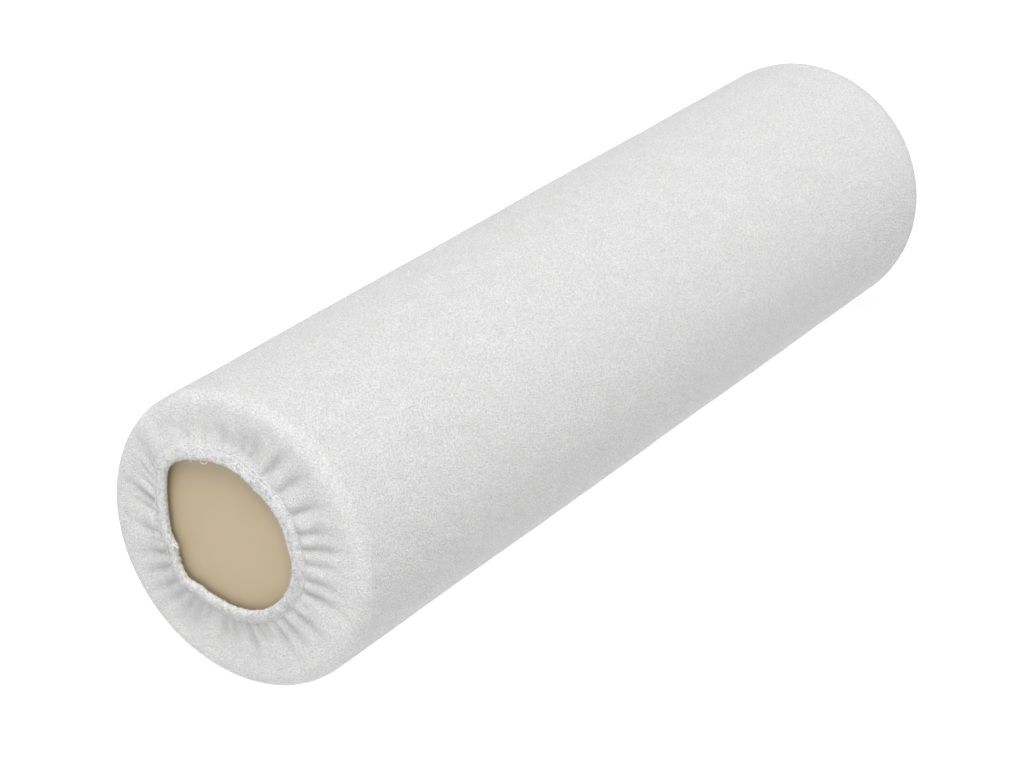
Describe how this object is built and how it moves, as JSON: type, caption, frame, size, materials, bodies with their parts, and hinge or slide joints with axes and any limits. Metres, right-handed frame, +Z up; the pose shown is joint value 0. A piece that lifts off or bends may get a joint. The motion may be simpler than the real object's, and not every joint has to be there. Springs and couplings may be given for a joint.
{
  "type": "massage bolster",
  "caption": "Round foam massage bolster in a zipped vinyl case with a fitted terry cover, gathered round an open mouth at each end.",
  "frame": {"origin": "bottom centre of the bounding box: the middle of the flat that the roll rests on", "axes": "+X along the roll, from its front end to its rear end; +Z up, away from the surface it rests on; +Y towards the side that holds the zip"},
  "size_m": [0.615, 0.1569, 0.156],
  "materials": {
    "terry": "white cotton terry with short loops",
    "vinyl": "beige coated fabric, smooth, low sheen",
    "foam": "open-cell polyurethane foam",
    "case_thread": "beige polyester thread",
    "cover_thread": "white cotton thread",
    "elastic": "woven elastic, off-white",
    "zip_tape": "woven polyester tape",
    "zip_row": "moulded plastic elements",
    "zip_metal": "nickel-plated zinc"
  },
  "bodies": {
    "bolster": {"cover_side_seam_thread": "cover_thread", "foam_core": "foam", "front_end_seam_thread": "case_thread", "front_hem_elastic": "elastic", "front_hem_thread": "cover_thread", "rear_end_seam_thread": "case_thread", "rear_hem_elastic": "elastic", "rear_hem_thread": "cover_thread", "terry_cover": "terry", "vinyl_front_end_panel": "vinyl", "vinyl_rear_end_panel": "vinyl", "vinyl_tube_panel": "vinyl", "zip_bottom_stop": "zip_row", "zip_row_lower": "zip_row", "zip_row_upper": "zip_row", "zip_stitching": "case_thread", "zip_tape_lower": "zip_tape", "zip_tape_upper": "zip_tape", "zip_top_stops": "zip_row"},
    "zip_slider": {"zip_slider": "zip_metal"},
    "zip_pull": {"zip_pull": "zip_metal"}
  },
  "joints": [
    {"name": "zip_slide", "type": "slide", "parent": "bolster", "child": "zip_slider", "axis": [-1, 0, 0], "range_m": [0, 0.4404]},
    {"name": "pull_swing", "type": "hinge", "parent": "zip_slider", "child": "zip_pull", "pos_m": [0.2202, 0.0721, 0.0775], "axis": [0, 0, -1], "range_deg": [0, 5]}
  ]
}
